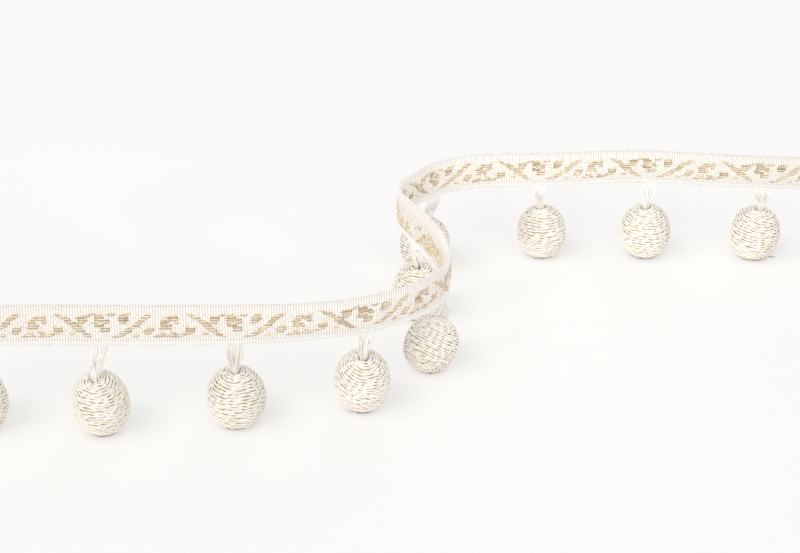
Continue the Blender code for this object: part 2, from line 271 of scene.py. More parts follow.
# The stems, in mm.  "threads" counts them, "spread" is how wide their roots are, "belly" how far
# they swell halfway down, "strays" where extra threads have their roots, "deep" the share of the
# deep colour, and "mouth" how far beside the hole's middle they enter.
Stem = namedtuple("Stem", "threads spread belly strays deep mouth")
STEMS = (
    Stem(16, 5.0, 0.3, (), 0.1, 0.0),
    Stem(36, 5.1, 0.4, (6.4,), 0.12, 0.2),
    Stem(44, 4.8, 0.7, (-2.9,), 0.15, 0.0),
    Stem(34, 5.4, 0.5, (3.4,), 0.12, -0.5),
    Stem(15, 6.0, 1.6, (3.3,), 0.0, 0.0),
    Stem(24, 4.6, 0.8, (-3.2,), 0.0, -0.2),
    Stem(32, 6.6, 1.0, (), 0.0, 0.0),
    Stem(26, 3.8, 0.3, (-2.6,), 0.0, 0.0),
    Stem(28, 4.5, 0.3, (2.9,), 0.0, 0.0),
    Stem(28, 5.2, 0.3, (3.6,), 0.05, 0.0),
)
STEM_SEED = 500
THREAD_RADIUS = 0.15 * MM
THREAD_SIDES = 5
THREAD_STEPS = 16
THREAD_STRAY = Wander((0.5, 0.9), 0.05 * MM)  # the lengths are shares of a thread
ROOT_SINK = 0.35 * MM  # how far up inside the tape a thread starts
ROOT_STRAY = 0.12  # in mm along the tape
ROOT_OUT = 0.28  # in mm towards either face of the tape
BOW_ASIDE = 0.6
BOW_STRAY = 0.12 * MM
THREAD_PULL = 0.4  # how firmly a thread keeps its first and last direction
THREAD_DEPTH = 0.2  # how much deeper than its bundle a thread may be
HOLE_SHADE = 0.8  # and how much painted shade it gets inside the ball's hole

# Colours: red, green, blue and alpha
RIB_LIGHT = (0.96, 0.935, 0.905, 1)
RIB_GROOVE_SHADE = (0.61, 0.55, 0.5, 1)
SELVEDGE_COLOUR = (0.975, 0.965, 0.95, 1)
BAND_COLOUR = (0.9, 0.83, 0.73, 1)
WARM_COLOUR = (0.87, 0.78, 0.68, 1)
CORE_LIGHT = (0.8, 0.67, 0.5, 1)
CORE_DEEP = (0.7, 0.55, 0.38, 1)
CORD_LIGHT = (0.98, 0.94, 0.875, 1)
CORD_TAN_AND_SHADE = (0.45, 0.345, 0.24, 1)
STAIN_COLOUR = (0.84, 0.71, 0.5, 1)
# painted contact shadow under each ball
FOOT_SHADOW_COLOUR = (0.36, 0.27, 0.2, 1)
STEM_LIGHT = (1.0, 0.985, 0.965, 1)
# the stems' tint, and their painted shade inside the hole
STEM_TINT_AND_SHADE = (0.88, 0.79, 0.7, 1)
FLOOR_COLOUR = (0.38, 0.376, 0.372, 1)
FLOOR_GLOW = (0.615, 0.608, 0.6, 1)  # the pale table passes light up from below
SKY_COLOUR = (1.0, 0.995, 0.985, 1)
LAMP_COLOUR = (1.0, 0.985, 0.96)
# A float's darkest and lightest tone, the colour of the painted shade on its underside and ends,
# and how strong its streaks are
FloatLook = namedtuple("FloatLook", "dark light deep streaks")
GOLD_FLOATS = FloatLook((0.54, 0.4, 0.245, 1), (0.98, 0.88, 0.69, 1), (0.27, 0.18, 0.1, 1), 0.24)
PALE_FLOATS = FloatLook((0.77, 0.69, 0.59, 1), (0.94, 0.91, 0.87, 1), (0.66, 0.555, 0.445, 1), 0.1)
BACK_FLOATS = FloatLook((0.66, 0.42, 0.16, 1), (1.0, 0.87, 0.6, 1), (0.44, 0.26, 0.1, 1), 0.3)

# How fine the grain is along and round a thread, and along and up the tape
THREAD_GRAIN = (900.0, 5.0)
FLOAT_GRAIN = (420.0, 5.0)
TAPE_GRAIN = (420.0, 3400.0)
NOISE_RANGE = (0.3, 0.7)  # of a noise's values

# Camera and light
CAMERA_PLACE = (0.5 * MM, -608.07 * MM, 331.05 * MM)
CAMERA_DIP = 26.786  # degrees below level
CAMERA_LENS = 85.5
SENSOR_WIDTH = 36.0
SKY_STRENGTH = 0.6
# Soft boxes: name, place and watts
SOFTBOXES = (
    ("key", (-1.5, -2.8, 2.2), 54.0),
    ("fill", (1.6, -2.6, 2.0), 24.0),
    ("back", (0.6, 2.8, 1.7), 12.0),
)
SOFTBOX_SIZE = 2.4
# Spots: name, place, aim, cone in degrees and watts
SPOTS = (
    ("rear_spot", (-0.15, -0.95, 0.3), (0.085, 0.07, 0.022), 11.0, 5.8),
    ("bend_spot", (-0.85, -0.5, 0.45), (0.009, 0.003, 0.036), 4.5, 16.0),
    ("curve_spot", (0.8, -0.55, 0.35), (0.006, 0.045, 0.034), 4.0, 19.0),
    ("stem_spot", (0.85, -0.4, 0.12), (0.016, -0.024, 0.028), 1.9, 22.0),
)
SPOT_RADIUS = 0.05
FLOOR_SIZE = 8.0

# Painted shadows on the table: its glow rises between two distances from a ball's foot, and from a
# point beside it
CONTACT_SHADE = ((1.7 * MM, 3.5 * MM), (0.05, 1.0))
SIDE_SHADE = ((4.0 * MM, 17.0 * MM), (0.87, 1.0))
# how far beside a ball's foot its painted side shadow lies
SHADE_SHIFT = (8.0 * MM, 6.0 * MM)


def ease_between(places, values, at):
    """Read a column at any place, smoothly and with no overshoot between its rows."""
    widths = np.diff(places)
    rises = np.diff(values) / widths
    slopes = np.zeros(len(places))
    slopes[0] = rises[0]
    slopes[-1] = rises[-1]
    for row in range(1, len(places) - 1):
        if rises[row - 1] * rises[row] > 0:
            before = 2 * widths[row] + widths[row - 1]
            after = widths[row] + 2 * widths[row - 1]
            slopes[row] = (before + after) / (before / rises[row - 1] + after / rises[row])
    left = np.clip(np.searchsorted(places, at, side="right") - 1, 0, len(widths) - 1)
    width = widths[left]
    t = (at - places[left]) / width
    start = (2 * t**3 - 3 * t**2 + 1) * values[left] + (t**3 - 2 * t**2 + t) * width * slopes[left]
    end = (3 * t**2 - 2 * t**3) * values[left + 1] + (t**3 - t**2) * width * slopes[left + 1]
    return start + end


def read_columns(at, places, table):
    """The columns of a table, each read between its rows."""
    return [np.interp(at, places, column) for column in table.T]


class TapePath:
    """The tape's middle line: its plan, its heading and its lean at any distance."""

    def __init__(self):
        places, headings, leans = np.array(STATIONS).T
        places = places * PITCH
        self.start = places[0]
        self.end = places[-1]
        steps = round((self.end - self.start) / TRACE_STEP)
        self.distance = np.linspace(self.start, self.end, steps + 1)
        heading = ease_between(places, np.radians(headings), self.distance)
        lean = ease_between(places, np.radians(leans), self.distance)
        middle = (heading[1:] + heading[:-1]) / 2
        step = self.distance[1] - self.distance[0]
        x = np.concatenate(([0.0], np.cumsum(np.cos(middle)) * step))
        y = np.concatenate(([0.0], np.cumsum(np.sin(middle)) * step))
        x = x - np.interp(0.0, self.distance, x) + FIRST_BALL_ROOT[0]
        y = y - np.interp(0.0, self.distance, y) + FIRST_BALL_ROOT[1]
        self.table = np.stack([heading, lean, x, y], 1)

    def frames(self, distance):
        """Arrays of the middle, the way along, the figured face's normal and the way up."""
        distance = np.atleast_1d(distance)
        inside = np.clip(distance, self.start, self.end)
        heading, lean, x, y = read_columns(inside, self.distance, self.table)
        zero = np.zeros_like(heading)
        along = np.stack([np.cos(heading), np.sin(heading), zero], 1)
        side = np.stack([np.sin(heading), -np.cos(heading), zero], 1)
        middle = np.stack([x, y, zero + TAPE_MIDDLE_Z], 1) + along * (distance - inside)[:, None]
        up = UP * np.cos(lean)[:, None] + side * np.sin(lean)[:, None]
        face = side * np.cos(lean)[:, None] - UP * np.sin(lean)[:, None]
        return middle, along, face, up

    def place(self, distance, out, height):
        """Points along the tape, out from its middle plane and up its width."""
        middle, _, face, up = self.frames(distance)
        return middle + face * np.reshape(out, (-1, 1)) + up * np.reshape(height, (-1, 1))


# ---- meshes

class Batch:
    """Tubes, each a closed skin over rings of points, that become one mesh."""

    def __init__(self):
        self.points = []
        self.quads = []
        self.triangles = []
        self.values = {}
        self.count = 0

    def add(self, points, sides, flip=False, **values):
        """One tube with this many points to a ring, flipped where they run the other way.
        A value is one number, one for each ring or one for each point."""
        rings = len(points) // sides
        way = -1 if flip else 1
        self.points.append(points)
        self.quads.append(ring_faces(rings, sides)[:, ::way] + self.count)
        self.triangles.append(end_faces(rings, sides)[:, ::way] + self.count)
        for name, value in values.items():
            value = np.asarray(value, dtype=np.float32)
            if value.shape == (rings,):
                value = np.repeat(value, sides)
            self.values.setdefault(name, []).append(np.broadcast_to(value, (len(points),)))
        self.count += len(points)

    def add_line(self, centres, radii, sides, **values):
        """A tube along a line of points."""
        first, second = directions(centres)
        points = tube(centres, first, second, radii, sides)
        self.add(points, sides, turn=turns(len(centres), sides), **values)

    def build(self, name, material):
        """The piece of the scene that the tubes make."""
        points = np.concatenate(self.points).astype(np.float32)
        quads = np.concatenate(self.quads).astype(np.int32)
        triangles = np.concatenate(self.triangles).astype(np.int32)
        mesh = bpy.data.meshes.new(name)
        mesh.vertices.add(len(points))
        mesh.vertices.foreach_set("co", points.ravel())
        corners = np.concatenate([quads.ravel(), triangles.ravel()])
        mesh.loops.add(len(corners))
        mesh.loops.foreach_set("vertex_index", corners)
        starts = np.concatenate([
            np.arange(len(quads)) * 4,
            len(quads) * 4 + np.arange(len(triangles)) * 3])
        mesh.polygons.add(len(starts))
        mesh.polygons.foreach_set("loop_start", starts.astype(np.int32))
        mesh.update(calc_edges=True)
        for key, columns in self.values.items():
            layer = mesh.attributes.new(key, "FLOAT", "POINT")
            layer.data.foreach_set("value", np.concatenate(columns))
        mesh.validate()
        mesh.shade_smooth()
        mesh.materials.append(material)
        piece = bpy.data.objects.new(name, mesh)
        bpy.context.scene.collection.objects.link(piece)
        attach(piece, "root")
        return piece


def ring_faces(rings, sides):
    """Quads between successive rings of points, each ring closed on itself."""
    ring = np.arange(rings - 1)[:, None] * sides
    here = np.arange(sides)[None, :]
    there = (here + 1) % sides
    quads = np.stack([ring + here, ring + there, ring + sides + there, ring + sides + here], -1)
    return quads.reshape(-1, 4)


def end_faces(rings, sides):
    """Triangle fans over a tube's two ends."""
    spokes = np.arange(1, sides - 1)
    zero = np.zeros_like(spokes)
    first = np.stack([zero, spokes + 1, spokes], 1)
    last = np.stack([zero, spokes, spokes + 1], 1) + (rings - 1) * sides
    return np.concatenate([first, last])


def angles_round(sides):
    """The angles of a tube's points round its ring."""
    return np.arange(sides) * TURN / sides


def tube(centres, first, second, radii, sides, flatten=1.0):
    """A tube's points from its centre line, two directions across it and its radius."""
    angles = angles_round(sides)
    across = np.cos(angles)[None, :, None] * first[:, None, :]
    beside = np.sin(angles)[None, :, None] * second[:, None, :] * flatten
    points = centres[:, None, :] + (across + beside) * np.reshape(radii, (-1, 1, 1))
    return points.reshape(-1, 3)


def turns(rings, sides):
    """How far round its ring each point of a tube lies."""
    return np.tile(np.arange(sides) / sides, rings)


def unit(vectors):
    """The same vectors with the length 1."""
    return vectors / np.linalg.norm(vectors, axis=1)[:, None]


def square_to(tangent, vectors):
    """The part of each vector that is square to a line's tangent, with the length 1."""
    return unit(vectors - tangent * np.sum(vectors * tangent, axis=1)[:, None])


def directions(centres):
    """Two directions across a line of points that turn no more than it does."""
    tangent = unit(np.gradient(centres, axis=0))
    first = np.empty_like(tangent)
    start = np.cross(tangent[0], [0.31, 0.87, 0.38])    # any direction that no thread follows
    first[0] = start / np.linalg.norm(start)
    for i in range(1, len(tangent)):
        carried = first[i - 1] - tangent[i] * np.dot(first[i - 1], tangent[i])
        first[i] = carried / np.linalg.norm(carried)
    return first, np.cross(tangent, first)


def run_along(points):
    """How far along a line of points each of them lies."""
    return np.concatenate(([0.0], np.cumsum(np.linalg.norm(np.diff(points, axis=0), axis=1))))


def wander(rng, at, kind):
    """A smooth random wave along a line."""
    total = np.zeros_like(at)
    for wavelength in kind.wavelengths:
        total += np.sin(at * TURN / wavelength + rng.uniform(0, TURN))
    return total * kind.size / sqrt(len(kind.wavelengths))


def stray(rng, size):
    """A random step of at most this size either way."""
    return rng.uniform(-size, size)


# ---- materials

def new_material(name):
    material = bpy.data.materials.new(name)
    material.use_nodes = True
    tree = material.node_tree
    return material, tree, tree.nodes["Principled BSDF"]


def feed(tree, socket, value):
    """Link a socket to another node's output, or set it to a constant."""
    if isinstance(value, bpy.types.NodeSocket):
        tree.links.new(value, socket)
    else:
        socket.default_value = value


def feed_all(tree, item, **inputs):
    """Feed a node's inputs, given by their names."""
    for name, value in inputs.items():
        feed(tree, item.inputs[name.replace("_", " ")], value)


def node(tree, kind, settings=None, **inputs):
    item = tree.nodes.new("ShaderNode" + kind)
    for name, value in (settings or {}).items():
        setattr(item, name, value)
    feed_all(tree, item, **inputs)
    return item


def calculate(tree, operation, *values):
    """An operation on numbers or other nodes' outputs."""
    item = node(tree, "Math", {"operation": operation})
    for socket, value in zip(item.inputs, values):
        feed(tree, socket, value)
    return item.outputs[0]


def attribute(tree, name):
    """A value that the mesh has for each of its points."""
    return node(tree, "Attribute", {"attribute_name": name}).outputs["Fac"]


def mix(tree, factor, first, second, blend="MIX"):
    """A colour between two others, or their product."""
    item = node(tree, "Mix", {"data_type": "RGBA", "blend_type": blend})
    for place, value in ((0, factor), (6, first), (7, second)):    # its sockets for colours
        feed(tree, item.inputs[place], value)
    return item.outputs[2]


def spread(tree, value, source, result):
    """A value moved from one range to another."""
    item = node(tree, "MapRange", Value=value, From_Min=source[0], From_Max=source[1],
                To_Min=result[0], To_Max=result[1])
    return item.outputs["Result"]


def shaded(tree, colour, shade):
    """A colour made lighter or darker by a factor."""
    grey = node(tree, "CombineColor", Red=shade, Green=shade, Blue=shade)
    return mix(tree, 1.0, colour, grey.outputs["Color"], "MULTIPLY")


def noise(tree, scale, detail, vector=None):
    if vector is None:
        vector = node(tree, "TexCoord").outputs["Object"]
    return node(tree, "TexNoise", Vector=vector, Scale=scale, Detail=detail).outputs["Fac"]


def coordinates(tree, first, second, scales):
    """A texture place from two per-point values, so that grain follows the thread."""
    x = calculate(tree, "MULTIPLY", attribute(tree, first), scales[0])
    y = calculate(tree, "MULTIPLY", attribute(tree, second), scales[1])
    return node(tree, "CombineXYZ", X=x, Y=y).outputs["Vector"]


def wave(tree, name, wavelength):
    """A cosine along one per-point value."""
    angle = calculate(tree, "MULTIPLY", attribute(tree, name), TURN / wavelength)
    return calculate(tree, "COSINE", angle)


def bump(tree, shader, height, distance, strength):
    item = node(tree, "Bump", Height=height, Distance=distance, Strength=strength)
    feed_all(tree, shader, Normal=item.outputs["Normal"])


def thread_material(name, light, deep, roughness, sheen, stain_and_foot_shadow):
    """Twisted rayon: light on the crowns of the threads and deeper between them, partly painted
    shade; the cord adds real stains and a painted contact shadow at its foot.
    """
    material, tree, shader = new_material(name)
    grain = noise(tree, 1.0, 3.0, coordinates(tree, "run", "turn", THREAD_GRAIN))
    colour = mix(tree, attribute(tree, "groove"), light, deep)
    if stain_and_foot_shadow:
        amount = calculate(tree, "MULTIPLY", attribute(tree, "stain"), 0.5)
        colour = mix(tree, amount, colour, STAIN_COLOUR)
        # a painted contact shadow where the ball stands on the table
        colour = mix(tree, attribute(tree, "foot"), colour, FOOT_SHADOW_COLOUR)
    colour = shaded(tree, colour, spread(tree, grain, NOISE_RANGE, (0.9, 1.04)))
    feed_all(tree, shader, Base_Color=colour, Roughness=roughness, Sheen_Weight=sheen,
             Sheen_Roughness=0.4, Specular_IOR_Level=0.1)
    bump(tree, shader, grain, 0.06 * MM, 0.6)
    return material


def tape_material():
    """The ground weave: pale ribs with painted shade between them, and fine threads across."""
    material, tree, shader = new_material("tape_weave")
    threads = noise(tree, 1.0, 2.0, coordinates(tree, "along", "height", TAPE_GRAIN))
    uneven = noise(tree, 60.0, 2.0)
    colour = mix(tree, attribute(tree, "groove"), RIB_LIGHT, RIB_GROOVE_SHADE)
    colour = mix(tree, attribute(tree, "pale"), colour, SELVEDGE_COLOUR)
    colour = mix(tree, attribute(tree, "figured"), colour, BAND_COLOUR)
    colour = mix(tree, spread(tree, uneven, (0.4, 0.7), (0.0, 0.08)), colour, WARM_COLOUR)
    beads = calculate(tree, "MULTIPLY", wave(tree, "along", 2 * RIB), wave(tree, "height", BEAD))
    fine = spread(tree, threads, NOISE_RANGE, (0.92, 1.03))
    beaded = spread(tree, beads, (-1.0, 1.0), (0.94, 1.04))
    colour = shaded(tree, colour, calculate(tree, "MULTIPLY", fine, beaded))
    feed_all(tree, shader, Base_Color=colour, Roughness=0.7, Sheen_Weight=0.05,
             Sheen_Roughness=0.5)
    bump(tree, shader, threads, 0.05 * MM, 0.7)
    return material


def float_material(name, look):
    """A float of loose silky thread: its own tone, streaks along it, painted shade on its
    underside and ends.
    """
    material, tree, shader = new_material(name)
    grain = noise(tree, 1.0, 2.0, coordinates(tree, "run", "turn", FLOAT_GRAIN))
    tone = mix(tree, attribute(tree, "tone"), look.dark, look.light)
    colour = mix(tree, attribute(tree, "groove"), tone, look.deep)
    shades = (1 - look.streaks, 1.0 + 0.4 * look.streaks)
    colour = shaded(tree, colour, spread(tree, grain, NOISE_RANGE, shades))
    feed_all(tree, shader, Base_Color=colour, Roughness=0.5, Sheen_Weight=0.03,
             Specular_IOR_Level=0.4)
    bump(tree, shader, grain, 0.06 * MM, 0.7)
    return material


def core_material():
    material, tree, shader = new_material("core")
    colour = mix(tree, noise(tree, 300.0, 3.0), CORE_LIGHT, CORE_DEEP)
    feed_all(tree, shader, Base_Color=colour, Roughness=0.8)
    return material


# ---- the tape

def in_band(height):
    """Whether a height on the tape lies in its figured band."""
    return (height > FIGURE_BOTTOM) & (height < FIGURE_TOP)


def half_thickness(height):
    """Half the tape's thickness at a height, thinner at the selvedge, fuller in the figure."""
    half = np.full_like(height, TAPE_THICKNESS / 2)
    half = np.where(height < SELVEDGE_TOP, half * SELVEDGE_THICKNESS, half)
    return half + np.where(in_band(height), BAND_RELIEF, 0.0)


def tape_section():
    """The heights of the rows of points up the tape's front and down its back, with one on each
    edge, and which way each row faces."""
    edge = TAPE_WIDTH / 2
    front = np.concatenate([
        [CORNER - edge, SELVEDGE_TOP - CORNER, SELVEDGE_TOP + CORNER, FIGURE_BOTTOM - BAND_SLOPE],
        np.linspace(FIGURE_BOTTOM + CORNER, FIGURE_TOP - CORNER, BAND_ROWS),
        [FIGURE_TOP + BAND_SLOPE, edge - CORNER]])
    heights = np.concatenate([front, [edge], front[::-1], [-edge]])
    faces = np.concatenate([np.ones(len(front)), [0.0], -np.ones(len(front)), [0.0]])
    return heights, faces


def make_tape(path, material):
    """The ribbed sheet, a closed skin over sections of the tape."""
    columns = round((path.end - path.start) / RIB * COLUMNS_PER_RIB) + 1
    distance = np.linspace(path.start, path.end, columns)
    heights, faces = tape_section()
    rows = len(heights)
    crown = np.cos((distance - path.start) / RIB * TURN)[:, None]
    relief = np.where(in_band(heights), BAND_RIBS, 1.0) * RIB_RELIEF
    out = faces * (half_thickness(heights) + relief * (crown - RIB_SINK))
    at_edge = np.abs(np.abs(heights) - TAPE_WIDTH / 2) < 1.5 * CORNER
    sway = wander(np.random.default_rng(TAPE_SEED), distance, EDGE_SWAY)[:, None]
    height = heights + np.sign(heights) * at_edge * SCALLOP * crown + sway
    points = path.place(np.repeat(distance, rows), out.ravel(), height.ravel())
    # painted shade in the grooves between the ribs
    groove = np.clip(0.5 - 0.5 * crown[:, 0], 0, 1) ** GROOVE_NARROWNESS
    batch = Batch()
    batch.add(points, rows, flip=True, groove=groove,
              pale=np.tile((heights < SELVEDGE_TOP) * SELVEDGE_PALENESS, columns),
              figured=np.tile(in_band(heights) * BAND_WARMTH, columns),
              along=distance, height=height.ravel())
    return batch.build("tape_weave", material)


def read_chart(rows):
    """Each run of marks in a chart: its row, first column, length and mark."""
    for row, line in enumerate(rows):
        for run in re.finditer(r"([^.])\1*", line):
            yield row, run.start(), len(run[0]), run[1]


def row_height(chart, row):
    return chart.top - chart.pitch * (row + 0.5)


def lay_float(batch, path, side, span, height, slant, rise, width, tone, beside=0.0):
    """One thread that lies on the weave over a span of it and dives in at both ends, where it
    draws in to the thread that it runs beside."""
    start, end = span
    steps = max(FLOAT_LEAST_STEPS, round((end - start) / FLOAT_STEP) + 2)
    share = np.linspace(0, 1, steps)
    distance = start + (end - start) * share
    arch = np.sin(pi * share) ** FLOAT_ROUNDNESS
    middle, _, face, up = path.frames(distance)
    out = TAPE_THICKNESS / 2 + BAND_RELIEF + rise * (arch - FLOAT_DIVE)
    lift = height + slant * (end - start) * (share - 0.5)
    lift = lift + beside * (END_SPREAD + (1 - END_SPREAD) * arch)
    centres = middle + face * (side * out)[:, None] + up * lift[:, None]
    radii = width / 2 * (END_WIDTH + (1 - END_WIDTH) * arch)
    points = tube(centres, up, face * side, radii, FLOAT_SIDES, flatten=FLOAT_FLATNESS)
    # painted shade on each float's underside and at its ends, where it dives into the weave
    under = np.clip(-UNDERSIDE - np.cos(angles_round(FLOAT_SIDES)), 0, 1)
    dive = np.clip(END_SHADE - END_SHADE_FADE * arch, 0, 1)
    groove = np.clip(np.tile(under, steps) + np.repeat(dive, FLOAT_SIDES), 0, 1)
    batch.add(points, FLOAT_SIDES, flip=side < 0, groove=groove, run=distance,
              turn=turns(steps, FLOAT_SIDES), tone=tone)


def make_figure(path, chart, name, material, seed):
    """The gold floats of one face of the tape, laid repeat after repeat from the chart."""
    rng = np.random.default_rng(seed)
    batch = Batch()
    for repeat in range(REPEATS):
        origin = path.start + repeat * PITCH
        for row, column, count, mark in read_chart(chart.rows):
            middle = row_height(chart, row) + stray(rng, ROW_SHIFT) * MM
            slant = SLANTS[mark] + stray(rng, SLANT_STRAY)
            for thread in FLOAT_THREADS:
                shift = STAGGER * thread.place * (slant / FLOAT_SLANT)
                start = column - FLOAT_BEFORE + shift + rng.uniform(*START_STRAY)
                end = column + count + FLOAT_AFTER + shift + rng.uniform(*END_STRAY)
                span = (max(origin + start * RIB, path.start), min(origin + end * RIB, path.end))
                # the lower thread's extra darkness is painted shade
                tone = TONES[mark] - thread.deeper + stray(rng, TONE_STRAY)
                tone -= DULL_THREAD * (rng.random() < DULL_SHARE)
                width = thread.width * chart.thread * rng.uniform(*WIDTH_RANGE)
                rise = thread.rise * rng.uniform(*RISE_RANGE)
                lay_float(batch, path, chart.side, span, middle, slant, rise, width,
                          np.clip(tone, 0, 1), thread.place * chart.thread * FLOAT_SPACING)
    return batch.build(name, material)


def make_ground(path, chart, name, material, seed):
    """Small pale floats that fill the band between the gold ones, brick by brick."""
    rng = np.random.default_rng(seed)
    batch = Batch()
    for repeat in range(REPEATS):
        origin = path.start + repeat * PITCH
        for row, line in enumerate(chart.rows):
            for column in range(row % 2, len(line) - 1, 2):
                if line[column:column + 2] != "..":
                    continue
                start = origin + (column + rng.uniform(*GROUND_START)) * RIB
                span = (start, start + RIB * rng.uniform(*GROUND_LENGTH))
                height = row_height(chart, row) + stray(rng, GROUND_SHIFT) * MM
                slant = stray(rng, GROUND_SLANT)
                tone = rng.random() ** GROUND_TONE
                lay_float(batch, path, chart.side, span, height, slant, GROUND_RISE,
                          GROUND_WIDTH, tone)
    return batch.build(name, material)


def make_fray(path, material):
    """Thread ends that stand out of the tape's two cuts, and two hairs on its edge."""
    rng = np.random.default_rng(FRAY_SEED)
    batch = Batch()
    for end, way in ((path.start, -1.0), (path.end, 1.0)):
        for height in np.arange(-FRAY_TOP, FRAY_TOP, FRAY_SPACING) * MM:
            reach = rng.uniform(*FRAY_REACH) * MM
            share = np.linspace(FRAY_SINK, 1.0, FRAY_STEPS)
            out = stray(rng, FRAY_OUT) * MM + stray(rng, FRAY_BEND) * MM * share**2
            lift = height + stray(rng, FRAY_BEND) * MM * share**2
            centres = path.place(end + way * reach * share, out, lift)
            add_thread(batch, centres, FRAY_RADIUS, FRAY_DEPTH)
    for at, length, lean in HAIRS:
        share = np.linspace(0, 1, FRAY_STEPS)
        distance = at * PITCH + length * lean * share**2
        height = TAPE_WIDTH / 2 + length * share - HAIR_SINK
        add_thread(batch, path.place(distance, HAIR_OUT * share, height), HAIR_RADIUS, HAIR_DEPTH)
    return batch.build("tape_fray", material)


def add_thread(batch, centres, radius, groove):
    batch.add_line(centres, radius, THREAD_SIDES, groove=groove, tone=FRAY_TONE,
                   run=run_along(centres))


# ---- the balls

class BallShape:
    """Where one ball stands and the form that its cord is wound to, as part.py has them."""

    def __init__(self, path, number):
        row = BALLS[number]
        at = number * PITCH
        edge = path.place(at, 0.0, -TAPE_WIDTH / 2)[0]
        _, along, face, _ = (item[0] for item in path.frames(at))
        side = np.array([face[0], face[1], 0.0])
        side /= np.linalg.norm(side)
        tip = radians(row.tip)
        towards = radians(row.towards)
        level = np.array([cos(towards), sin(towards), 0.0])
        self.axis = level * sin(tip) + UP * cos(tip)
        self.radius = row.width * MM / 2
        across = self.radius * sin(tip)
        reach = (row.height * MM + BALL_SINK) / 2
        self.half_height = sqrt(reach**2 - across**2) / cos(tip)
        plan = edge + along * row.along * MM + side * row.out * MM
        self.centre = np.array([plan[0], plan[1], row.height * MM - reach])
        forward = along - self.axis * np.dot(along, self.axis)
        self.forward = forward / np.linalg.norm(forward)
        self.sideways = np.cross(self.axis, self.forward)
        self.root = at + row.root * MM

    def place(self, radius, angle, height):
        """Points at a radius from the ball's axis, an angle round it and a height along it."""
        out = self.outward(angle) * np.reshape(radius, (-1, 1))
        return self.centre + out + self.axis * np.reshape(height, (-1, 1))

    def outward(self, angle):
        angle = np.reshape(angle, (-1, 1))
        return self.forward * np.cos(angle) + self.sideways * np.sin(angle)

    def meridian(self, depth):
        """Lengths, places (radius and height) and normals from the hole over the lip to the
        foot, lying a given depth inside the ball's form."""
        lip_radius = HOLE_RADIUS + LIP
        angles = np.linspace(pi / 2, -pi / 2, MERIDIAN_POINTS)[1:-1]
        power = 2.0 / BALL_FULLNESS
        radii = self.radius * np.cos(angles) ** power
        heights = self.half_height * np.sign(angles) * np.abs(np.sin(angles)) ** power
        body = [(r, h) for r, h in zip(radii, heights) if r > (lip_radius if h > 0 else WIND_END)]
        top = body[0][1]
        lip_angles = np.linspace(0.0, pi / 2, LIP_POINTS)
        lip = [(lip_radius - LIP * cos(a), top - LIP + LIP * sin(a)) for a in lip_angles]
        line = np.array([(HOLE_RADIUS, top - HOLE_DEPTH)] + lip[:-1] + body)
        tangent = unit(np.gradient(line, axis=0))
        normal = np.stack([-tangent[:, 1], tangent[:, 0]], 1)
        line = line - normal * depth
        return run_along(line), line, normal


def wind(lengths, line, pitch, step):
    """Angles and lengths down the meridian of a cord wound at an even pitch."""
    angle = 0.0
    length = 0.0
    angles = []
    places = []
    while length < lengths[-1]:
        angles.append(angle)
        places.append(length)
        turn = step / max(np.interp(length, lengths, line[:, 0]), TIP_RADIUS)
        angle += turn
        length += pitch * turn / (TURN)
    return np.array(angles), np.array(places)


def swell(rng, angles, places):
    """A slow wave over the ball, which bends neighbouring rows of its cord together."""
    total = np.zeros_like(angles)
    for around in SWELLS_AROUND:
        down = TURN / (rng.uniform(*SWELL_LENGTHS) * MM) * rng.choice((-1, 1))
        total += np.sin(angles * around + places * down + rng.uniform(0, TURN))
    return total * ROW_SWELL / sqrt(len(SWELLS_AROUND))


def wind_cord(rng, shape, size):
    """The cord's centre line on a ball: lengths along it and down the ball, its points, and the
    ways square to it, out of the ball and along the ball."""
    lengths, line, normal = shape.meridian(CORD_DEPTH)
    angles, places = wind(lengths, line, CORD_PITCH * size, PLY_STEP)
    angles = angles + rng.uniform(0, TURN)
    run = np.arange(len(angles)) * PLY_STEP
    quiet = np.clip(places / QUIET_LENGTH, QUIET_LEAST, 1.0)
    sway = swell(rng, angles, places) + wander(rng, run, ROW_STRAY)
    shifted = places + quiet * sway
    lift = quiet * wander(rng, run, ROW_LIFT)
    radius, height = read_columns(shifted, lengths, line)
    out_radius, out_height = read_columns(shifted, lengths, normal)
    outward = shape.outward(angles)
    surface = unit(outward * out_radius[:, None] + shape.axis * out_height[:, None])
    centres = shape.place(radius, angles, height) + surface * lift[:, None]
    centres[:, 2] = np.maximum(centres[:, 2], FOOT_CLEARANCE)
    tangent = unit(np.gradient(centres, axis=0))
    surface = square_to(tangent, surface)
    return run, places, centres, surface, np.cross(tangent, surface)


def groove_level(height, place):
    """How far over its centre the cord is light, at a height and a place down the ball; below that
    it gets its tan and painted shade.
    """
    low = np.clip(1 - height / TABLE_SHADE.reach, 0, 1) * TABLE_SHADE.size
    high = np.clip((height - CROWN_BOTTOM) / CROWN_LIGHT.reach, 0, 1) * CROWN_LIGHT.size
    lip = np.clip(1 - place / HOLE_LIGHT.reach, 0, 1) * HOLE_LIGHT.size
    return GROOVE_TOP + low - high - lip


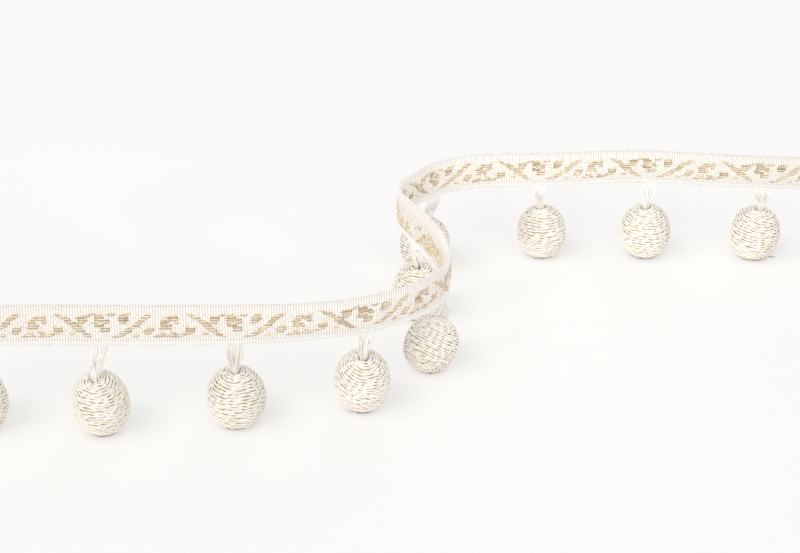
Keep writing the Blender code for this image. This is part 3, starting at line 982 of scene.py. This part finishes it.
def make_ball(shape, number, cord, core):
    """The cord's two plies wound down the ball, and the core between them."""
    rng = np.random.default_rng(BALL_SEED + number)
    size = BALL_PITCHES[number] * MM / CORD_PITCH
    run, places, centres, surface, beside = wind_cord(rng, shape, size)
    twist = run / (PLY_TWIST * size) * TURN + wander(rng, run, TWIST_STRAY)
    stain = np.clip(wander(rng, run, STAINS) - STAIN_LEVEL, 0, 1)
    level = groove_level(centres[:, 2], places)[:, None]
    batch = Batch()
    for ply in (0, 1):
        turn = twist + ply * pi
        rise = surface * (PLY_RISE * size * np.cos(turn))[:, None]
        line = centres + rise + beside * (PLY_ACROSS * size * np.sin(turn))[:, None]
        tangent = unit(np.gradient(line, axis=0))
        first = square_to(tangent, surface)
        points = tube(line, first, np.cross(tangent, first), PLY_RADIUS * size, PLY_SIDES)
        off_centre = points.reshape(-1, PLY_SIDES, 3) - centres[:, None, :]
        above = np.sum(off_centre * surface[:, None, :], axis=2)
        # the deep colour's share: the cord's own tan and painted shade below its crowns
        groove = np.clip((level - above / size) / GROOVE_SPAN, 0, 1)
        # painted contact shadow, full at the table
        foot = np.clip((FOOT_SHADOW_TOP - points[:, 2]) / FOOT_SHADOW_FADE, 0, 1)
        batch.add(points, PLY_SIDES, groove=groove.ravel(), run=run, stain=stain, foot=foot,
                  turn=turns(len(run), PLY_SIDES))
    if number == TAIL_BALL:
        add_tail(batch, shape)
    label = f"ball_{number + 1:02d}"
    piece = batch.build(label + "_cord", cord)
    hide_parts(label)
    make_core(shape, label, core)


def add_tail(batch, shape):
    """The winding's loose end, on the table beside the ball."""
    share = np.linspace(0, 1, TAIL_POINTS)
    foot = np.array([shape.centre[0], shape.centre[1], 0.0])
    centres = foot + TAIL_START + (TAIL_END - TAIL_START) * share[:, None]
    centres[:, 2] += TAIL_ARCH * np.sin(pi * share)
    # the tail's deep and foot shares are painted shade, as it lies in the ball's shadow
    batch.add_line(centres, TAIL_RADIUS * (1 - 0.5 * share**4), PLY_SIDES, groove=0.6,
                   run=share * TAIL_LENGTH, stain=0.3, foot=0.35)


def make_core(shape, label, material):
    """The plain form under the cord, dark between the turns."""
    lengths, line, _ = shape.meridian(CORE_DEPTH)
    samples = np.linspace(0.0, lengths[-1], CORE_RINGS)
    radii, heights = read_columns(samples, lengths, line)
    radii = np.maximum(radii, CORE_TIP)
    angles = np.tile(angles_round(CORE_SIDES), CORE_RINGS)
    points = shape.place(np.repeat(radii, CORE_SIDES), angles, np.repeat(heights, CORE_SIDES))
    points[:, 2] = np.maximum(points[:, 2], CORE_CLEARANCE)
    batch = Batch()
    batch.add(points, CORE_SIDES, flip=True)
    batch.build(label + "_core", material)


# ---- the stems

def thread_line(root, mouth, end, axis, bow):
    """A thread from the tape to the ball's hole, bowed out on the way."""
    share = np.linspace(0, 1, THREAD_STEPS)[:, None]
    pull = np.linalg.norm(mouth - root) * THREAD_PULL
    leave = root - UP * pull
    arrive = mouth + axis * pull
    rest = 1 - share
    curve = root * rest**3 + leave * 3 * rest**2 * share
    curve = curve + arrive * 3 * rest * share**2 + mouth * share**3
    curve = curve + bow * np.sin(pi * share) ** 1.3
    return np.concatenate([curve, (mouth * 2 + end)[None, :] / 3, end[None, :]])


def make_stem(path, shape, number, material):
    """A bundle of threads, drawn in from the tape to the ball's hole."""
    rng = np.random.default_rng(STEM_SEED + number)
    row = STEMS[number]
    _, line, _ = shape.meridian(0.0)
    mouth_height = line[1:, 1].max()
    end_height = mouth_height - HOLE_DEPTH
    shifts = np.linspace(-0.5, 0.5, row.threads) * row.spread
    shifts = shifts + rng.uniform(-ROOT_STRAY, ROOT_STRAY, row.threads)
    aside = shape.forward * row.mouth * MM
    batch = Batch()
    for order, shift in enumerate(np.concatenate([shifts, row.strays])):
        out = stray(rng, ROOT_OUT) * MM
        root = path.place(shape.root + shift * MM, out, -TAPE_WIDTH / 2 + ROOT_SINK)[0]
        side = np.clip(shift / row.spread * 2, -1, 1)
        angle = acos(side * 0.95) * (1 if order % 2 else -1)
        radius = HOLE_RADIUS * rng.uniform(0.3, 1.0) ** 0.5
        mouth = shape.place(radius, angle, mouth_height)[0] + aside
        end = shape.place(radius * 0.9, angle, end_height)[0] + aside * 0.5
        bow = (shape.forward * side + shape.sideways * stray(rng, BOW_ASIDE)) * row.belly * MM
        bow = bow + rng.uniform(-BOW_STRAY, BOW_STRAY, 3)
        centres = thread_line(root, mouth, end, shape.axis, bow)
        rings = len(centres)
        at = np.arange(rings) / rings
        centres = centres + np.stack([wander(rng, at, THREAD_STRAY) for _ in range(3)], 1)
        radius = THREAD_RADIUS * rng.uniform(0.75, 1.25)
        share = np.linspace(0, 1, rings)
        # the bundle's own tint and each thread's tone, plus painted shade inside the hole
        groove = row.deep + rng.uniform(0.0, THREAD_DEPTH) + HOLE_SHADE * share**8
        batch.add_line(centres, radius, THREAD_SIDES, groove=groove,
                       run=12 * MM * share + order * 0.013)
    label = f"stem_{number + 1:02d}"
    piece = batch.build(label + "_threads", material)
    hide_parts(label)


# ---- the studio

def distance_to_nearest(tree, places):
    """How far a point of the table is from the nearest of some places."""
    here = node(tree, "TexCoord").outputs["Object"]
    nearest = None
    for x, y in places:
        away = node(tree, "VectorMath", {"operation": "DISTANCE"})
        tree.links.new(here, away.inputs[0])
        away.inputs[1].default_value = (x, y, 0.0)
        distance = away.outputs["Value"]
        nearest = distance if nearest is None else calculate(tree, "MINIMUM", nearest, distance)
    return nearest


def glow_under_painted_shadows(tree, contacts):
    """How much of its glow the table gives off at a point: little where painted shadows fall,
    under and beside a ball.
    """
    beside = [(x + SHADE_SHIFT[0], y + SHADE_SHIFT[1]) for x, y in contacts]
    painted_contact_shadow = spread(tree, distance_to_nearest(tree, contacts), *CONTACT_SHADE)
    shade = spread(tree, distance_to_nearest(tree, beside), *SIDE_SHADE)
    return calculate(tree, "MULTIPLY", painted_contact_shadow, shade)


def make_floor(contacts):
    bpy.ops.mesh.primitive_plane_add(size=FLOOR_SIZE)
    floor = bpy.context.object
    floor.name = "floor"
    material, tree, shader = new_material("floor")
    # the table's glow is cut by the painted shadows under and beside each ball
    feed_all(tree, shader, Base_Color=FLOOR_COLOUR, Emission_Color=FLOOR_GLOW,
             Emission_Strength=glow_under_painted_shadows(tree, contacts), Roughness=0.9, Specular_IOR_Level=0.1)
    floor.data.materials.append(material)


def make_light():
    world = bpy.data.worlds.new("studio")
    bpy.context.scene.world = world
    world.use_nodes = True
    background = world.node_tree.nodes["Background"]
    feed_all(world.node_tree, background, Color=SKY_COLOUR, Strength=SKY_STRENGTH)
    for name, place, power in SOFTBOXES:
        lamp = bpy.data.lights.new(name, "AREA")
        lamp.shape = "SQUARE"
        lamp.size = SOFTBOX_SIZE
        hang(lamp, power, place, (0.0, 0.0, 0.0))
    for name, place, aim, cone, power in SPOTS:
        spot = bpy.data.lights.new(name, "SPOT")
        spot.spot_size = radians(cone)
        spot.spot_blend = 1.0
        spot.shadow_soft_size = SPOT_RADIUS
        hang(spot, power, place, aim)


def hang(lamp, power, place, aim):
    """Put a lamp in its place, turned to what it lights."""
    lamp.energy = power
    lamp.color = LAMP_COLOUR
    holder = bpy.data.objects.new(lamp.name, lamp)
    holder.location = place
    holder.rotation_euler = (Vector(aim) - Vector(place)).to_track_quat("-Z", "Y").to_euler()
    bpy.context.scene.collection.objects.link(holder)


def make_camera():
    data = bpy.data.cameras.new("camera")
    data.lens = CAMERA_LENS
    data.sensor_width = SENSOR_WIDTH
    data.clip_start = 0.01
    camera = bpy.data.objects.new("camera", data)
    camera.location = CAMERA_PLACE
    camera.rotation_euler = (radians(90 - CAMERA_DIP), 0, 0)
    bpy.context.scene.collection.objects.link(camera)
    bpy.context.scene.camera = camera
    bpy.context.scene.view_settings.view_transform = "Standard"


def main():
    path = TapePath()
    shapes = [BallShape(path, number) for number in range(len(BALLS))]
    make_camera()
    make_floor([shape.centre[:2] for shape in shapes])
    make_light()
    weave = make_tape(path, tape_material())
    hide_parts("tape")
    gold = float_material("gold_floats", GOLD_FLOATS)
    pale = float_material("pale_floats", PALE_FLOATS)
    bright = float_material("reverse_floats", BACK_FLOATS)
    figure = make_figure(path, FRONT, "tape_figure", gold, seed=11)
    ground = make_ground(path, FRONT, "tape_ground", pale, seed=12)
    back = make_figure(path, BACK, "tape_reverse", bright, seed=13)
    back_ground = make_ground(path, BACK, "tape_reverse_ground", pale, seed=14)
    fray = make_fray(path, pale)
    cord = thread_material("ball_cord", CORD_LIGHT, CORD_TAN_AND_SHADE, 0.45, 0.05, stain_and_foot_shadow=True)
    thread = thread_material("stem_thread", STEM_LIGHT, STEM_TINT_AND_SHADE, 0.55, 0.5, stain_and_foot_shadow=False)
    core = core_material()
    for number, shape in enumerate(shapes):
        make_ball(shape, number, cord, core)
        make_stem(path, shape, number, thread)


main()
